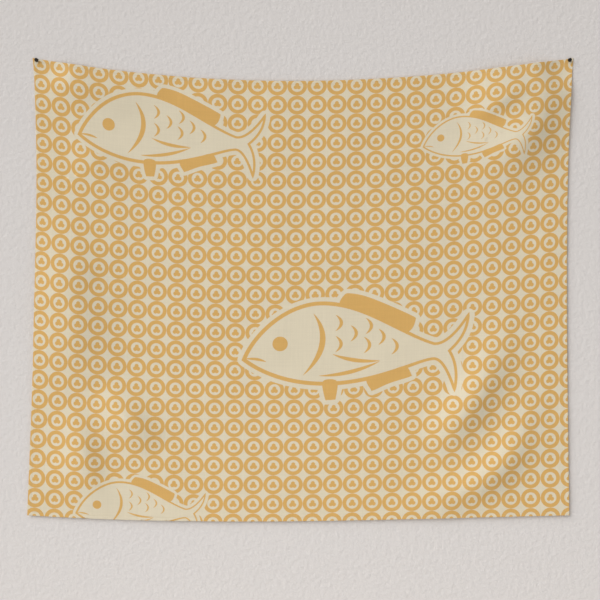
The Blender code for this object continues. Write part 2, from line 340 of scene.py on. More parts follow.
def hung_surface(s, t, offset):
    """Places on the hung cloth at an offset from its middle, and the normals there."""
    step = SLOPE_STEP
    across = hang(s + step, t) - hang(s - step, t)
    down = hang(s, t + step) - hang(s, t - step)
    across /= np.linalg.norm(across, axis=-1, keepdims=True)
    down /= np.linalg.norm(down, axis=-1, keepdims=True)
    facing = np.cross(down, across)
    facing /= np.linalg.norm(facing, axis=-1, keepdims=True)
    place = hang(s, t) + facing * (offset + lift(s, t))[..., None]
    slope_across = (lift(s + step, t) - lift(s - step, t)) / (2 * step)
    slope_down = (lift(s, t + step) - lift(s, t - step)) / (2 * step)
    normal = facing - across * slope_across[..., None] - down * slope_down[..., None]
    normal /= np.linalg.norm(normal, axis=-1, keepdims=True)
    return place, normal


# ---- the fish, in flat shapes


def cubic(start, handle_a, handle_b, end, steps):
    share = np.linspace(0.0, 1.0, steps + 1)[:, None]
    rest = 1 - share
    a, b, c, d = (np.array(p) for p in (start, handle_a, handle_b, end))
    return rest**3 * a + 3 * rest**2 * share * b + 3 * rest * share**2 * c + share**3 * d


def smooth_loop(corners, steps):
    """A closed curve through the corners (Catmull-Rom)."""
    corners = np.array(corners)
    count = len(corners)
    loop = []
    for k in range(count):
        p0, p1, p2, p3 = (corners[(k + j - 1) % count] for j in range(4))
        for share in np.arange(steps) / steps:
            loop.append(0.5 * (2 * p1 + (p2 - p0) * share
                               + (2 * p0 - 5 * p1 + 4 * p2 - p3) * share**2
                               + (3 * p1 - p0 - 3 * p2 + p3) * share**3))
    return np.array(loop)


def tapered_stroke(start, handle, end, width, steps):
    """A closed loop around a quadratic curve, as wide as width in its middle."""
    share = np.linspace(0.0, 1.0, steps + 1)[:, None]
    a, b, c = (np.array(p) for p in (start, handle, end))
    line = (1 - share) ** 2 * a + 2 * share * (1 - share) * b + share**2 * c
    run = np.gradient(line, axis=0)
    run /= np.linalg.norm(run, axis=1, keepdims=True)
    sideways = np.stack((-run[:, 1], run[:, 0]), axis=1)
    half = width / 2 * np.sin(math.pi * share) ** STROKE_FULLNESS
    one_side = line + sideways * half
    other_side = line - sideways * half
    return np.concatenate((one_side, other_side[-2:0:-1]))


def offset_loop(loop, distance):
    """The closed loop moved sideways by a distance for each of its points."""
    before = loop - np.roll(loop, 1, axis=0)
    after = np.roll(loop, -1, axis=0) - loop
    before /= np.linalg.norm(before, axis=1, keepdims=True)
    after /= np.linalg.norm(after, axis=1, keepdims=True)
    middle = before + after
    middle /= np.linalg.norm(middle, axis=1, keepdims=True)
    mitre = 1 / np.clip((middle * after).sum(axis=1), MITRE_LIMIT, 1.0)
    sideways = np.stack((-middle[:, 1], middle[:, 0]), axis=1)
    return loop + sideways * (distance * mitre)[:, None]


def inside(points, loop):
    """Which points lie inside a closed loop."""
    x, y = points[:, 0], points[:, 1]
    odd = np.zeros(len(points), dtype=bool)
    for (x0, y0), (x1, y1) in zip(loop, np.roll(loop, -1, axis=0)):
        if y0 == y1:
            continue
        crosses = (y0 > y) != (y1 > y)
        odd ^= crosses & (x < x0 + (y - y0) * (x1 - x0) / (y1 - y0))
    return odd


def distance_to_loop(points, loop):
    """Distance from each point to a closed loop, and the place along it."""
    nearest = np.full(len(points), np.inf)
    where = np.zeros(len(points))
    ends = np.roll(loop, -1, axis=0)
    for k, (here, after) in enumerate(zip(loop, ends)):
        run = after - here
        offset = points - here
        part = np.clip(offset @ run / (run @ run), 0.0, 1.0)
        gap = np.linalg.norm(offset - part[:, None] * run, axis=1)
        closer = gap < nearest
        nearest[closer] = gap[closer]
        where[closer] = k + part[closer]
    return nearest, where


class Fish:
    """One printed fish, as closed loops on the flat cloth."""

    def __init__(self, snout_s, snout_t, length, weight):
        self.length = length
        self.snout = np.array((snout_s, snout_t))
        start = (0.0, 0.0)
        pieces = []
        halves = []
        for handle_a, handle_b, end in FISH_OUTLINE:
            span = np.linalg.norm(np.array(end) - np.array(start)) * length
            steps = max(3, round(span / CURVE_STEP))
            pieces.append(cubic(start, handle_a, handle_b, end, steps)[:-1])
            x = pieces[-1][:, 0]
            share = smooth_step((x - TAPER_START) / TAPER_LENGTH)
            halves.append(OUTLINE_HALF + (TAIL_HALF - OUTLINE_HALF) * share)
            start = end
        outline = np.concatenate(pieces)
        self.halves = np.concatenate(halves) * length * weight
        self.outline = self.place(outline)
        self.fins = [self.place(smooth_loop(fin, self.steps(FIN_SPAN))) for fin in FISH_FINS]
        strokes = list(FISH_STROKES)
        for x, y in SCALE_TICKS:
            half = TICK_HEIGHT / 2
            strokes.append(((x, y + half), (x + TICK_BULGE, y), (x, y - half), TICK_WIDTH))
        self.strokes = []
        for first, handle, last, width in strokes:
            span = np.linalg.norm(np.array(last) - np.array(first)) + width
            stroke = tapered_stroke(first, handle, last, width * weight, self.steps(span))
            self.strokes.append(self.place(stroke))
        turn = np.linspace(0, 2 * math.pi, self.steps(2 * math.pi * EYE_RADIUS), endpoint=False)
        eye = np.array(EYE_PLACE) + EYE_RADIUS * np.stack((np.cos(turn), np.sin(turn)), axis=1)
        self.eye = self.place(eye)

    def steps(self, span):
        return max(4, round(span * self.length / CURVE_STEP))

    def place(self, points):
        return self.snout + points * np.array((1, -1)) * self.length

    def loops(self):
        """Every edge of the ink."""
        outer = offset_loop(self.outline, self.halves)
        inner = offset_loop(self.outline, -self.halves)
        return [outer, inner, *self.fins, *self.strokes, self.eye]

    def inked(self, points):
        gap, where = distance_to_loop(points, self.outline)
        half = self.halves[np.round(where).astype(int) % len(self.halves)]
        ink = gap < half
        for loop in [*self.fins, *self.strokes, self.eye]:
            ink |= inside(points, loop)
        return ink

    def open(self, points):
        return np.zeros(len(points), dtype=bool)

    def clearance(self, points):
        """How far points are outside the margin around this fish."""
        gap = distance_to_loop(points, self.outline)[0] - OUTLINE_HALF * self.length
        gap[inside(points, self.outline)] = -self.length
        for fin in self.fins:
            fin_gap = distance_to_loop(points, fin)[0]
            fin_gap[inside(points, fin)] = -self.length
            gap = np.minimum(gap, fin_gap)
        return gap - HALO * self.length


# ---- the cloth's mesh


def edge_graded_lines(length):
    """Mesh lines along one side: close together over the hems, even between them."""
    last = EDGE_LINES[-1]
    count = round((length - 2 * last) / GRID_STEP)
    middle = np.linspace(last, length - last, count + 1)
    far = [length - place for place in EDGE_LINES[-2::-1]]
    return np.concatenate((EDGE_LINES[:-1], middle, far))


class NeedleHole:
    """The hole that a pin's needle makes in the cloth."""

    def __init__(self, sign):
        turn = np.linspace(0, 2 * math.pi, HOLE_SEGMENTS, endpoint=False)
        circle = NEEDLE_HOLE * np.stack((np.cos(turn), np.sin(turn)), axis=1)
        self.rim = circle + np.array((sign * PIN_PLACE, PIN_INSET_TOP))

    def loops(self):
        return [self.rim]

    def inked(self, points):
        return np.zeros(len(points), dtype=bool)

    def open(self, points):
        return inside(points, self.rim)


def shape_patch(shape, columns, rows):
    """The block of grid cells that a shape's edges touch, as index ranges."""
    loops = np.concatenate(shape.loops())
    low = loops.min(axis=0) - GRID_STEP / 2
    high = loops.max(axis=0) + GRID_STEP / 2
    left = max(np.searchsorted(columns, low[0]) - 1, 0)
    right = min(np.searchsorted(columns, high[0]), len(columns) - 1)
    top = max(np.searchsorted(rows, low[1]) - 1, 0)
    bottom = min(np.searchsorted(rows, high[1]), len(rows) - 1)
    return left, right, top, bottom


def cut_patch(shape, patch, columns, rows):
    """Triangles that follow a shape's edges, filling its block of the grid."""
    left, right, top, bottom = patch
    rim = [(c, top) for c in range(left, right)]
    rim += [(right, r) for r in range(top, bottom)]
    rim += [(c, bottom) for c in range(right, left, -1)]
    rim += [(left, r) for r in range(bottom, top, -1)]
    points = [(columns[c], rows[r]) for c, r in rim]
    edges = [(k, (k + 1) % len(rim)) for k in range(len(rim))]

    loops = shape.loops()
    loop_points = np.concatenate(loops)
    for loop in loops:
        first = len(points)
        points += [tuple(p) for p in loop]
        edges += [(first + k, first + (k + 1) % len(loop)) for k in range(len(loop))]
    inner = np.array([(columns[c], rows[r]) for r in range(top + 1, bottom)
                      for c in range(left + 1, right)])
    for first in range(0, len(inner), CHUNK):
        some = inner[first:first + CHUNK]
        gap = np.linalg.norm(some[:, None, :] - loop_points[None, :, :], axis=2).min(axis=1)
        points += [tuple(p) for p in some[gap > GRID_CLEARANCE * GRID_STEP]]

    found = delaunay_2d_cdt([Vector(p) for p in points], edges, [], 0, 1e-7)
    vertices = np.array([tuple(v) for v in found[0]])
    triangles = np.array([tuple(f) for f in found[2]])
    centre = vertices[triangles].mean(axis=1)
    keep = (centre[:, 0] > columns[left]) & (centre[:, 0] < columns[right])
    keep &= (centre[:, 1] > rows[top]) & (centre[:, 1] < rows[bottom])
    keep &= ~shape.open(centre)
    return vertices, triangles[keep], shape.inked(centre[keep])


def flat_sheet(shoal):
    """The flat cloth: its points, its faces and which faces are ink."""
    columns = edge_graded_lines(CLOTH_WIDTH) - CLOTH_WIDTH / 2
    rows = edge_graded_lines(CLOTH_HEIGHT)
    wide = len(columns)
    points = [(s, t) for t in rows for s in columns]
    known = {(round(s, 6), round(t, 6)): k for k, (s, t) in enumerate(points)}
    open_cell = np.ones((len(rows) - 1, wide - 1), dtype=bool)
    faces = []
    ink = []
    for shape in [*shoal, NeedleHole(-1), NeedleHole(1)]:
        patch = shape_patch(shape, columns, rows)
        left, right, top, bottom = patch
        open_cell[top:bottom, left:right] = False
        vertices, triangles, inked = cut_patch(shape, patch, columns, rows)
        names = []
        for s, t in vertices:
            key = (round(s, 6), round(t, 6))
            if key not in known:
                known[key] = len(points)
                points.append((s, t))
            names.append(known[key])
        for triangle, is_ink in zip(triangles, inked):
            corners = tuple(names[k] for k in triangle)
            if len(set(corners)) == 3:
                faces.append(corners)
                ink.append(is_ink)
    for row, column in zip(*np.nonzero(open_cell)):
        a = int(row * wide + column)
        faces.append((a, a + 1, a + wide + 1, a + wide))
        ink.append(False)
    return np.array(points), faces, np.array(ink, dtype=float)


def tidy_sheet(points, faces):
    """Drops the points that no face uses."""
    used = sorted({k for face in faces for k in face})
    new_name = {old: new for new, old in enumerate(used)}
    return points[used], [tuple(new_name[k] for k in face) for face in faces]


def area_sign(points, face):
    s, t = points[list(face), 0], points[list(face), 1]
    return np.sum(s * np.roll(t, -1) - np.roll(s, -1) * t)


def add_object(name, data):
    obj = bpy.data.objects.new(name, data)
    bpy.context.scene.collection.objects.link(obj)
    return obj


def new_piece(name, vertices, faces, material, body="cloth"):
    """A smooth mesh object that rides on a body."""
    mesh = bpy.data.meshes.new(name)
    mesh.from_pydata(np.asarray(vertices).tolist(), [], faces)
    mesh.materials.append(material)
    mesh.shade_smooth()
    obj = add_object(name, mesh)
    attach(obj, body)
    return obj


def add_values(mesh, name, domain, values):
    attribute = mesh.attributes.new(name, "FLOAT", domain)
    attribute.data.foreach_set("value", np.asarray(values, dtype=np.float32))


def add_flat_map(mesh, name, places):
    """A UV map from one place for each corner of the mesh."""
    layer = mesh.uv_layers.new(name=name)
    layer.data.foreach_set("uv", np.asarray(places, dtype=np.float32).ravel())


def loop_vertices(mesh):
    numbers = np.empty(len(mesh.loops), dtype=np.int32)
    mesh.loops.foreach_get("vertex_index", numbers)
    return numbers


def make_cloth(shoal, material):
    """The printed panel: face, back and rim in one mesh, with the fish cut into it."""
    points, faces, ink = flat_sheet(shoal)
    points, faces = tidy_sheet(points, faces)
    faces = [f if area_sign(points, f) < 0 else f[::-1] for f in faces]
    front, normal = hung_surface(points[:, 0], points[:, 1], PANEL_FACE)
    back = hung_surface(points[:, 0], points[:, 1], -PANEL_FACE)[0]
    count = len(points)

    sides = {pair: True for face in faces for pair in zip(face, face[1:] + face[:1])}
    rim = [(here, after) for here, after in sides if (after, here) not in sides]
    all_faces = list(faces)
    all_faces += [tuple(count + k for k in reversed(face)) for face in faces]
    all_faces += [(after, here, count + here, count + after) for here, after in rim]
    vertices = np.concatenate((front, back))
    cloth = new_piece("printed_cloth", vertices, all_faces, material)
    mesh = cloth.data
    mesh.normals_split_custom_set_from_vertices(np.concatenate((normal, -normal)).tolist())

    is_back = np.concatenate((np.zeros(len(faces)), np.ones(len(faces)), np.zeros(len(rim))))
    add_values(mesh, "ink", "FACE", np.concatenate((ink, ink, np.zeros(len(rim)))))
    add_values(mesh, "back", "FACE", is_back)
    clear = np.full(count, 1.0)
    for fish in shoal:
        clear = np.minimum(clear, fish.clearance(points))
    add_values(mesh, "margin", "POINT", np.tile(np.maximum(clear, INSIDE_MARGIN), 2))

    corner = loop_vertices(mesh)
    flat = np.tile(points, (2, 1))[corner]
    add_flat_map(mesh, "Flat", flat)
    # The printed face takes most of the export's own map, and the plain back the rest.
    share = CLOTH_HEIGHT / CLOTH_WIDTH
    across = (flat[:, 0] + CLOTH_WIDTH / 2) / CLOTH_WIDTH
    down = flat[:, 1] / CLOTH_HEIGHT
    front_map = np.stack((across, 1 - down * share), axis=1)
    back_map = np.stack((across, (1 - down) * (1 - share - BAKE_GAP)), axis=1)
    on_back = (corner >= count)[:, None]
    add_flat_map(mesh, "OFBake", np.where(on_back, back_map, front_map))
    return cloth


# ---- hems and threads


def edge_points(end, along, inset):
    """Flat places at an inset from one edge of the cloth."""
    if end == "top":
        return along, inset
    if end == "bottom":
        return along, CLOTH_HEIGHT - inset
    sign = -1 if end == "left" else 1
    return sign * (CLOTH_WIDTH / 2 - inset), along


def edge_strip(name, end, along, insets, offsets, flat_map, material):
    """A closed strip or thread that follows one edge of the hung cloth.

    insets and offsets hold the cross-section's points at each place along the edge, and
    flat_map gives where each of those points is in the material.
    """
    rings, sides = insets.shape
    flat = np.stack(flat_map, axis=-1).reshape(-1, 2)
    run = np.broadcast_to(along[:, None], insets.shape)
    s, t = edge_points(end, run, insets)
    vertices = hung_surface(s, t, offsets)[0].reshape(-1, 3)

    # One row for each quad: the ring and the side that each of its corners is on.
    ring, side = np.divmod(np.arange((rings - 1) * sides), sides)
    corner_ring = ring[:, None] + np.array((0, 0, 1, 1))
    corner_side = side[:, None] + np.array((0, 1, 1, 0))
    quads = corner_ring * sides + corner_side % sides
    # The bake map folds the strip into rows, so that they fill the square.
    per_row = -(-(rings - 1) // BAKE_ROWS)
    row = (ring // per_row)[:, None]
    across = (corner_ring - row * per_row) / per_row
    up = (row + BAKE_ROW_START + BAKE_ROW_SHARE * corner_side / sides) / BAKE_ROWS
    bake = np.stack((across, up * BAKE_HEIGHT), axis=-1)
    corners = vertices[quads]
    swirl = np.cross(corners[:, 0], corners[:, 1]) + np.cross(corners[:, 2], corners[:, 3])
    inside_out = np.sum(swirl * corners[:, 2]) < 0
    if inside_out:
        quads, bake = quads[:, ::-1], bake[:, ::-1]

    start_cap = list(range(sides))
    end_cap = [(rings - 1) * sides + k for k in range(sides)]
    caps = [start_cap, end_cap[::-1]] if inside_out else [start_cap[::-1], end_cap]
    turn = 2 * math.pi * np.arange(sides) / sides
    small = CAP_PLACE + CAP_SIZE * np.stack((np.cos(turn), np.sin(turn)), axis=1)
    piece = new_piece(name, vertices, quads.tolist() + caps, material)
    add_flat_map(piece.data, "Flat", flat[loop_vertices(piece.data)])
    add_flat_map(piece.data, "OFBake", np.concatenate((bake.reshape(-1, 2), small, small)))
    return piece


def hem_section():
    """The cross-section of a hem: two layers, folded at its inner edge and sewn."""
    half = (HEM_FACE - HEM_BACK) / 2
    middle = (HEM_FACE + HEM_BACK) / 2
    outer = ROLL_WIDTH + half
    turn = np.radians(np.linspace(90, -90, 9))
    inner_fold = [(HEM_WIDTH - half + half * math.cos(a), middle + half * math.sin(a))
                  for a in turn]
    back = []
    for inset in HEM_BACK_POINTS:
        groove = HEM_GROOVE * math.exp(-(((inset - SEAM_INSET) / GROOVE_WIDTH) ** 2))
        back.append((inset, HEM_BACK + groove))
    outer_fold = [(outer - half * math.cos(a), middle - half * math.sin(a)) for a in turn]
    face = [(inset, HEM_FACE) for inset in HEM_FACE_POINTS]
    section = inner_fold + back + outer_fold + face
    return tuple(np.array(values) for values in zip(*section))


def make_hem(end, low, high, material):
    insets, offsets = hem_section()
    along = np.linspace(low, high, round((high - low) / HEM_STEP) + 1)
    shape = (len(along), len(insets))
    run = np.broadcast_to(along[:, None], shape)
    # What shows behind is the printed face, turned over, so the print runs on past the edge.
    print_map = edge_points(end, run, -np.broadcast_to(insets, shape))
    piece = edge_strip(f"sewn_hem_{end}", end, along, np.broadcast_to(insets, shape),
                       np.broadcast_to(offsets, shape), print_map, material)
    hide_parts(f"hem_{end}")
    return piece


def make_thread(kind, end, low, high, material):
    """One thread of a lockstitch seam: it rides over the cloth and dips at each stitch."""
    out = 1 if kind == "face" else -1
    surface = PANEL_FACE if kind == "face" else HEM_BACK + HEM_GROOVE
    stitches = round((high - low) / STITCH_LENGTH)
    share = np.arange(stitches * STITCH_SAMPLES + 1) / STITCH_SAMPLES
    along = low + (high - low) * share / stitches
    radius = THREAD_DIAMETER / 2
    dip = np.cos(math.pi * share) ** STITCH_SHARPNESS
    centre = surface + out * (radius * STITCH_RIDE - dip * THREAD_DIAMETER)
    slant = radius * STITCH_SLANT * (share % 1 - 0.5)
    turn = 2 * math.pi * np.arange(STITCH_SIDES) / STITCH_SIDES
    insets = SEAM_INSET + slant[:, None] + radius * np.cos(turn)
    offsets = centre[:, None] + radius * np.sin(turn)
    around = np.broadcast_to(radius * turn, insets.shape)
    run = np.broadcast_to(along[:, None], insets.shape)
    piece = edge_strip(f"{kind}_stitches_{end}", end, along, insets, offsets, (run, around),
                       material)
    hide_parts(f"{kind}_thread_{end}")
    return piece


def turned(name, profile, segments, place, material, body):
    """A solid turned about a pin's axis, from (radius, distance out of the wall)."""
    rings = profile[1:-1]
    turn = 2 * math.pi * np.arange(segments) / segments
    vertices = [(0.0, -profile[0][1], 0.0), (0.0, -profile[-1][1], 0.0)]
    for radius, out in rings:
        vertices += [(radius * math.cos(a), -out, radius * math.sin(a)) for a in turn]
    last = 2 + (len(rings) - 1) * segments
    faces = []
    for k in range(segments):
        after = (k + 1) % segments
        faces.append((0, 2 + k, 2 + after))
        faces.append((1, last + after, last + k))
        for ring in range(len(rings) - 1):
            here = 2 + ring * segments
            there = here + segments
            faces.append((here + k, there + k, there + after, here + after))
    piece = new_piece(name, np.array(vertices) + place, faces, material, body)
    piece.data.set_sharp_from_angle(angle=math.radians(40))
    return piece


def arc(centre, radius, start, end, steps=8):
    angles = np.radians(np.linspace(start, end, steps + 1))
    return [(centre[0] + radius * math.cos(a), centre[1] + radius * math.sin(a)) for a in angles]


def head_profile():
    """Half outline of a pin's head, from its dished thumb face back to its socket."""
    tip = PIN_BASE + HEAD_LENGTH
    flange_high = PIN_BASE + FLANGE_THICKNESS
    neck_high = tip - THUMB_THICKNESS
    outline = [(radius, tip - depth) for radius, depth in THUMB_FACE]
    outline += arc((THUMB_RADIUS - EDGE_ROUND, tip - EDGE_ROUND), EDGE_ROUND, 90, 0)
    outline += arc((THUMB_RADIUS - EDGE_ROUND, neck_high + EDGE_ROUND), EDGE_ROUND, 0, -80)
    foot = THUMB_RADIUS - EDGE_ROUND
    for share in WAIST_ROWS:
        radius = WAIST_RADIUS + (foot - WAIST_RADIUS) * (0.5 + 0.5 * math.cos(2 * math.pi * share))
        outline.append((radius, neck_high + (flange_high - neck_high) * share))
    outline += arc((FLANGE_RADIUS - EDGE_ROUND, flange_high - EDGE_ROUND), EDGE_ROUND, 90, 0)
    outline += arc((FLANGE_RADIUS - SMALL_ROUND, PIN_BASE + SMALL_ROUND), SMALL_ROUND, 0, -90, 4)
    outline += [(NEEDLE_HOLE + SMALL_ROUND, PIN_BASE), (NEEDLE_HOLE, PIN_BASE + SMALL_ROUND)]
    socket_end = PIN_BASE + NEEDLE_IN_HEAD + PIECE_GAP
    return outline + [(NEEDLE_HOLE, socket_end), (0.0, socket_end)]


def needle_profile():
    """Half outline of a needle, from its end in the head to its ground point."""
    blunt = PIN_BASE + NEEDLE_IN_HEAD
    shoulder = NEEDLE_POINT - NEEDLE_IN_WALL
    outline = [(0.0, blunt), (NEEDLE_RADIUS - NEEDLE_ROUND, blunt),
               (NEEDLE_RADIUS, blunt - NEEDLE_ROUND)]
    for share in POINT_ROWS:
        radius = NEEDLE_RADIUS * math.sqrt(1 - share**POINT_POWER)
        outline.append((radius, shoulder - NEEDLE_POINT * share))
    return outline + [(0.0, -NEEDLE_IN_WALL)]


def pierce(piece):
    """Cuts the two needles' holes through a hem."""
    cutters = []
    hole = [(0.0, PIN_BASE), (NEEDLE_HOLE, PIN_BASE), (NEEDLE_HOLE, 0.0), (0.0, 0.0)]
    for sign in (-1, 1):
        cutter = turned("needle_hole", hole, HEM_HOLE_SEGMENTS, pin_place(sign),
                        piece.data.materials[0], "cloth")
        modifier = piece.modifiers.new("hole", "BOOLEAN")
        modifier.operation = "DIFFERENCE"
        modifier.object = cutter
        cutters.append(cutter)
    cut = piece.evaluated_get(bpy.context.evaluated_depsgraph_get())
    piece.data = bpy.data.meshes.new_from_object(cut)
    piece.modifiers.clear()
    for cutter in cutters:
        bpy.data.objects.remove(cutter, do_unlink=True)


def pin_place(sign):
    place = hang(np.array(sign * PIN_PLACE), np.array(PIN_INSET_TOP))
    place[1] = 0.0
    return place


def make_pins(plastic, steel):
    for side, sign in (("left", -1), ("right", 1)):
        place = pin_place(sign)
        body = f"{side}_pin"
        head = turned(f"{side}_head", head_profile(), PIN_SEGMENTS, place, plastic, body)
        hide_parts(f"{side}_pin_head")
        needle = turned(f"{side}_needle", needle_profile(), NEEDLE_SEGMENTS, place, steel, body)
        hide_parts(f"{side}_pin_needle")


def make_trim():
    """The four hems, each with the two threads of its seam."""
    cloth_finish = cloth_material("hem_face", hem=True)
    thread_finish = thread_material()
    half = CLOTH_WIDTH / 2 - ROLL_WIDTH
    low = HEM_WIDTH + PIECE_GAP
    spans = {"top": (-half, half), "bottom": (-half, half),
             "left": (low, CLOTH_HEIGHT - low), "right": (low, CLOTH_HEIGHT - low)}
    pieces = []
    for end, (start, stop) in spans.items():
        pieces.append(make_hem(end, start, stop, cloth_finish))
        if end in ("top", "bottom"):
            start, stop = -CLOTH_WIDTH / 2 + SEAM_INSET, CLOTH_WIDTH / 2 - SEAM_INSET
        for kind in ("face", "back"):
            pieces.append(make_thread(kind, end, start, stop, thread_finish))
    pierce(pieces[0])
    return pieces


# ---- materials

GROUND = (0.676, 0.605, 0.457, 1.0)
INK = (0.632, 0.379, 0.119, 1.0)
BACK_GROUND = (0.640, 0.590, 0.475, 1.0)
THREAD = (0.640, 0.560, 0.380, 1.0)
SHEEN_TINT = (1.0, 0.95, 0.86, 1.0)
PLASTIC_TONES = ((0.009, 0.007, 0.006, 1.0), (0.015, 0.011, 0.009, 1.0))
STEEL_TONES = ((0.50, 0.51, 0.52, 1.0), (0.62, 0.63, 0.64, 1.0))
EDGE_SOFT = 0.00035           # half width of the soft border of the ink
BLEED = 0.0009                # how far the ink's edge wanders
GHOST = 0.62                  # the share of the print that does not show through
YARN_STRETCHES = ((260.0, 9.0, 1.0), (9.0, 260.0, 1.0))
WEAVE_PITCH = 0.0009
WEAVE_DEPTH = 0.00012
PLY_PITCH = 0.0009
PLY_DEPTH = 0.00006


class Graph:
    """Shorthand for building one material's nodes."""

    def __init__(self, name):
        self.material = bpy.data.materials.new(name)
        self.material.use_nodes = True
        self.tree = self.material.node_tree
        self.shader = self.tree.nodes["Principled BSDF"]

    def feed(self, socket, value):
        if isinstance(value, bpy.types.NodeSocket):
            self.tree.links.new(value, socket)
        else:
            socket.default_value = value

    def node(self, kind, settings=None, output=0, **inputs):
        node = self.tree.nodes.new(kind)
        for key, value in (settings or {}).items():
            setattr(node, key, value)
        for key, value in inputs.items():
            self.feed(node.inputs[key.replace("_", " ")], value)
        return node.outputs[output]

    def math(self, operation, a, b=0.0, clamp=False):
        node = self.tree.nodes.new("ShaderNodeMath")
        node.operation = operation
        node.use_clamp = clamp
        self.feed(node.inputs[0], a)
        self.feed(node.inputs[1], b)
        return node.outputs[0]

    def mix(self, share, a, b):
        node = self.tree.nodes.new("ShaderNodeMix")
        node.data_type = "RGBA"
        self.feed(node.inputs[0], share)
        self.feed(node.inputs[6], a)
        self.feed(node.inputs[7], b)
        return node.outputs[2]

    def step(self, value, edge):
        """1 where value is below the edge, with a soft border."""
        gap = self.math("SUBTRACT", edge, value)
        return self.math("ADD", self.math("DIVIDE", gap, 2 * EDGE_SOFT), 0.5, clamp=True)

    def attribute(self, name):
        return self.node("ShaderNodeAttribute", {"attribute_name": name}, output="Fac")

    def noise(self, vector, scale, detail=2.0, roughness=0.5):
        return self.node("ShaderNodeTexNoise", Vector=vector, Scale=scale, Detail=detail,
                         Roughness=roughness)

    def stretched(self, vector, stretch):
        node = self.tree.nodes.new("ShaderNodeVectorMath")
        node.operation = "MULTIPLY"
        self.feed(node.inputs[0], vector)
        self.feed(node.inputs[1], stretch)
        return node.outputs[0]

    def parts(self, vector):
        """The first two numbers of a vector."""
        node = self.tree.nodes.new("ShaderNodeSeparateXYZ")
        self.feed(node.inputs[0], vector)
        return node.outputs[0], node.outputs[1]

    def set(self, **values):
        for key, value in values.items():
            self.feed(self.shader.inputs[key.replace("_", " ")], value)


def local_ring_place(graph, s, t):
    """Offsets across and down from the nearest ring's centre."""
    offsets = []
    for value, first in ((s, FIRST_RING[0]), (t, FIRST_RING[1])):
        turns = graph.math("DIVIDE", graph.math("SUBTRACT", value, first), RING_PITCH)
        nearest = graph.math("ROUND", turns)
        offsets.append(graph.math("MULTIPLY", graph.math("SUBTRACT", turns, nearest), RING_PITCH))
    return offsets


def length_of(graph, a, b):
    return graph.math("SQRT", graph.math("ADD", graph.math("MULTIPLY", a, a),
                                         graph.math("MULTIPLY", b, b)))


def ring_ink(graph, s, t):
    """The ink of the lattice of rings, each with three dots in it."""
    across, down = local_ring_place(graph, s, t)
    radius = length_of(graph, across, down)
    disc = graph.step(radius, RING_OUTER)
    hole = graph.step(radius, RING_INNER)
    ink = graph.math("SUBTRACT", disc, hole)
    for place in DOT_PLACES:
        gap = length_of(graph, graph.math("SUBTRACT", across, place[0]),
                        graph.math("SUBTRACT", down, place[1]))
        ink = graph.math("MAXIMUM", ink, graph.step(gap, DOT_RADIUS))
    return ink


def cloth_material(name, hem=False):
    """Plain-weave polyester with the print on its face and a ghost of it behind.

    On a hem the face is turned over, and only the lattice reaches it.
    """
    graph = Graph(name)
    flat = graph.node("ShaderNodeUVMap", {"uv_map": "Flat"})
    bleed = graph.noise(flat, 900.0)
    wobble = graph.math("MULTIPLY", graph.math("SUBTRACT", bleed, 0.5), BLEED)
    s, t = graph.parts(flat)
    ink = ring_ink(graph, graph.math("ADD", s, wobble), graph.math("ADD", t, wobble))
    if hem:
        on_back = 0.0
    else:
        margin = graph.attribute("margin")
        in_lattice = graph.math("SUBTRACT", 1.0, graph.step(margin, 0.0))
        ink = graph.math("MAXIMUM", graph.math("MULTIPLY", ink, in_lattice), graph.attribute("ink"))
        on_back = graph.attribute("back")
        strength = graph.math("SUBTRACT", 1.0, graph.math("MULTIPLY", on_back, GHOST))
        ink = graph.math("MULTIPLY", ink, strength)

    # Uneven yarns, as fine streaks along the warp and the weft.
    streaks = []
    for stretch in YARN_STRETCHES:
        streaks.append(graph.noise(graph.stretched(flat, stretch), 1.0, 3.0, 0.6))
    yarn = graph.math("ADD", *streaks)
    blotch = graph.noise(flat, 7.0, 3.0)
    tone = graph.math("ADD", graph.math("MULTIPLY", graph.math("SUBTRACT", yarn, 1.0), 0.11),
                      graph.math("MULTIPLY", graph.math("SUBTRACT", blotch, 0.5), 0.05))
    brightness = graph.math("ADD", 1.0, tone)

    ground = graph.mix(on_back, GROUND, BACK_GROUND)
    colour = graph.mix(ink, ground, INK)
    shade = graph.node("ShaderNodeHueSaturation", Color=colour, Value=brightness)
    rough = graph.math("SUBTRACT", 0.90, graph.math("MULTIPLY", ink, 0.06))

    # The weave itself, and slubs in its yarns.
    weave = []
    for axis in (s, t):
        weave.append(graph.math("SINE", graph.math("MULTIPLY", axis, 2 * math.pi / WEAVE_PITCH)))
    height = graph.math("MULTIPLY", graph.math("MULTIPLY", *weave), 0.5)
    height = graph.math("ADD", height, graph.math("MULTIPLY", yarn, 2.2))
    bump = graph.node("ShaderNodeBump", Height=height, Strength=0.35, Distance=WEAVE_DEPTH)
    graph.set(Base_Color=shade, Roughness=rough, Normal=bump)
    graph.set(Sheen_Weight=0.25, Sheen_Roughness=0.45, Sheen_Tint=SHEEN_TINT,
              Specular_IOR_Level=0.25)
    return graph.material


def plain_graph(name, colour, roughness):
    graph = Graph(name)
    graph.set(Base_Color=colour, Roughness=roughness)
    return graph


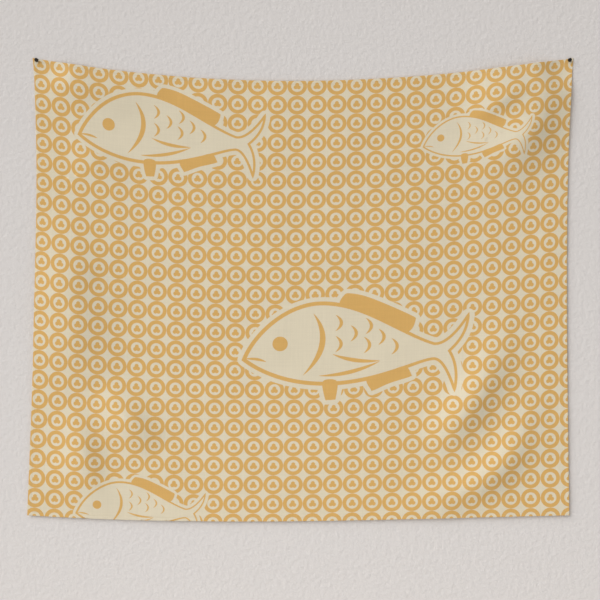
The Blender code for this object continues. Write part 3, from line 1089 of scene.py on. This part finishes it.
def thread_material():
    """Spun polyester, two plies twisted together."""
    graph = plain_graph("spun_polyester", THREAD, 0.62)
    flat = graph.node("ShaderNodeUVMap", {"uv_map": "Flat"})
    along, around = graph.parts(flat)
    twist = graph.math("ADD", graph.math("MULTIPLY", along, 2 * math.pi / PLY_PITCH),
                       graph.math("MULTIPLY", around, 4 / THREAD_DIAMETER))
    ply = graph.math("ABSOLUTE", graph.math("SINE", twist))
    fuzz = graph.noise(flat, 2400.0)
    height = graph.math("ADD", ply, graph.math("MULTIPLY", fuzz, 0.5))
    bump = graph.node("ShaderNodeBump", Height=height, Strength=0.5, Distance=PLY_DEPTH)
    # Painted shade: the thread's colour is darker in the grooves between its two plies, where the
    # bump sinks, and lighter on their crests.
    value = graph.math("ADD", 0.80, graph.math("MULTIPLY", ply, 0.24))
    shade = graph.node("ShaderNodeHueSaturation", Color=THREAD, Value=value)
    graph.set(Base_Color=shade, Normal=bump, Sheen_Weight=0.2)
    return graph.material


def pin_plastic_material():
    """Moulded plastic: glossy, with faint flow marks and handling scuffs."""
    graph = Graph("moulded_plastic")
    place = graph.node("ShaderNodeTexCoord", output="Object")
    scuffs = graph.noise(place, 900.0, 4.0, 0.6)
    flow = graph.noise(place, 160.0, 2.0)
    rough = graph.math("ADD", 0.20, graph.math("MULTIPLY", scuffs, 0.22))
    tone = graph.mix(flow, *PLASTIC_TONES)
    bump = graph.node("ShaderNodeBump", Height=flow, Strength=0.25, Distance=0.0001)
    graph.set(Base_Color=tone, Roughness=rough, Normal=bump, Specular_IOR_Level=0.35)
    return graph.material


def pin_steel_material():
    """Bright drawn steel, with its draw lines along the needle."""
    graph = Graph("drawn_steel")
    place = graph.node("ShaderNodeTexCoord", output="Object")
    lines = graph.noise(graph.stretched(place, (9000.0, 260.0, 9000.0)), 1.0, 3.0)
    tone = graph.mix(lines, *STEEL_TONES)
    rough = graph.math("ADD", 0.16, graph.math("MULTIPLY", lines, 0.18))
    bump = graph.node("ShaderNodeBump", Height=lines, Strength=0.15, Distance=0.00002)
    graph.set(Base_Color=tone, Roughness=rough, Normal=bump, Metallic=1.0)
    return graph.material


# ---- the studio

CAMERA_DISTANCE = 3.40
FRAME_WIDTH = 1.690           # width of the wall that the picture takes in
FRAME_CENTRE = (-0.0087, -0.675)
SENSOR = 36.0
WALL_MARGIN = 0.42
WALL_PAINT = (0.672, 0.642, 0.627, 1.0)
WALL_GRAIN = 0.005
FLOOR_DROP = 0.55
FLOOR_REACH = 8.0
FLOOR_PAINT = (0.62, 0.60, 0.58, 1.0)


def make_camera():
    data = bpy.data.cameras.new("camera")
    data.sensor_width = SENSOR
    data.lens = SENSOR * CAMERA_DISTANCE / FRAME_WIDTH
    camera = add_object("camera", data)
    camera.location = (FRAME_CENTRE[0], -CAMERA_DISTANCE, FRAME_CENTRE[1])
    camera.rotation_euler = (math.radians(90), 0, 0)
    bpy.context.scene.camera = camera


def add_light(name, kind, power, colour):
    data = bpy.data.lights.new(name, kind)
    data.energy = power
    data.color = colour
    return add_object(name, data)


def area_light(name, place, target, size, power, colour):
    light = add_light(name, "AREA", power, colour)
    light.data.shape = "DISK"
    light.data.size = size
    light.location = place
    light.rotation_euler = (Vector(target) - Vector(place)).to_track_quat("-Z", "Y").to_euler()


def sun_light(name, direction, softness, strength, colour):
    """An even light from far away; direction points at it, softness is in degrees."""
    light = add_light(name, "SUN", strength, colour)
    light.data.angle = math.radians(softness)
    light.rotation_euler = Vector(direction).to_track_quat("Z", "Y").to_euler()


def flat_stage(name, corners, material):
    """One flat piece of the stage, from its four corners."""
    mesh = bpy.data.meshes.new(name)
    mesh.from_pydata(corners, [], [(0, 1, 2, 3)])
    mesh.materials.append(material)
    return add_object(name, mesh)


def wall_material():
    """Painted plaster, clear from behind so that the cloth's back can be seen."""
    graph = plain_graph("wall_paint", WALL_PAINT, 0.9)
    grain = graph.noise(graph.node("ShaderNodeTexCoord", output="Object"), 75.0, 6.0, 0.6)
    bump = graph.node("ShaderNodeBump", Height=grain, Strength=0.6, Distance=WALL_GRAIN)
    graph.set(Normal=bump)
    geometry = graph.tree.nodes.new("ShaderNodeNewGeometry")
    clear = graph.tree.nodes.new("ShaderNodeBsdfTransparent")
    mixer = graph.tree.nodes.new("ShaderNodeMixShader")
    graph.feed(mixer.inputs[0], geometry.outputs["Backfacing"])
    graph.feed(mixer.inputs[1], graph.shader.outputs[0])
    graph.feed(mixer.inputs[2], clear.outputs[0])
    graph.feed(graph.tree.nodes["Material Output"].inputs[0], mixer.outputs[0])
    return graph.material


def make_stage():
    low, high = (Vector(corner) for corner in cad_box)
    left, right = low.x - WALL_MARGIN, high.x + WALL_MARGIN
    bottom, top = low.z - FLOOR_DROP, high.z + WALL_MARGIN
    wall = flat_stage("wall", [(left, 0, bottom), (right, 0, bottom), (right, 0, top),
                               (left, 0, top)], wall_material())
    wall.visible_shadow = False
    reach = FLOOR_REACH
    floor = flat_stage("floor", [(-reach, -reach, bottom), (reach, -reach, bottom),
                                 (reach, reach, bottom), (-reach, reach, bottom)],
                       plain_graph("floor_paint", FLOOR_PAINT, 0.8).material)


def make_lights():
    middle = (0.0, 0.0, FRAME_CENTRE[1])
    sun_light("window", (-0.628, -0.527, 0.574), 50, 2.52, (1.0, 0.980, 0.953))
    area_light("fill", (-0.5, -2.5, -2.0), middle, 1.6, 32, (0.945, 0.985, 1.0))
    area_light("back", (1.5, 2.8, 0.8), middle, 2.0, 55, (1.0, 0.99, 0.98))
    world = bpy.data.worlds.new("world")
    world.use_nodes = True
    background = world.node_tree.nodes["Background"]
    background.inputs[0].default_value = (0.97, 0.98, 1.0, 1.0)
    background.inputs[1].default_value = 0.35
    bpy.context.scene.world = world
    bpy.context.scene.view_settings.view_transform = "Standard"


make_camera()
make_stage()
make_lights()
cloth = make_cloth([Fish(*values) for values in FISH], cloth_material("printed_cloth_face"))
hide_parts("cloth_panel")
trim = make_trim()
make_pins(pin_plastic_material(), pin_steel_material())
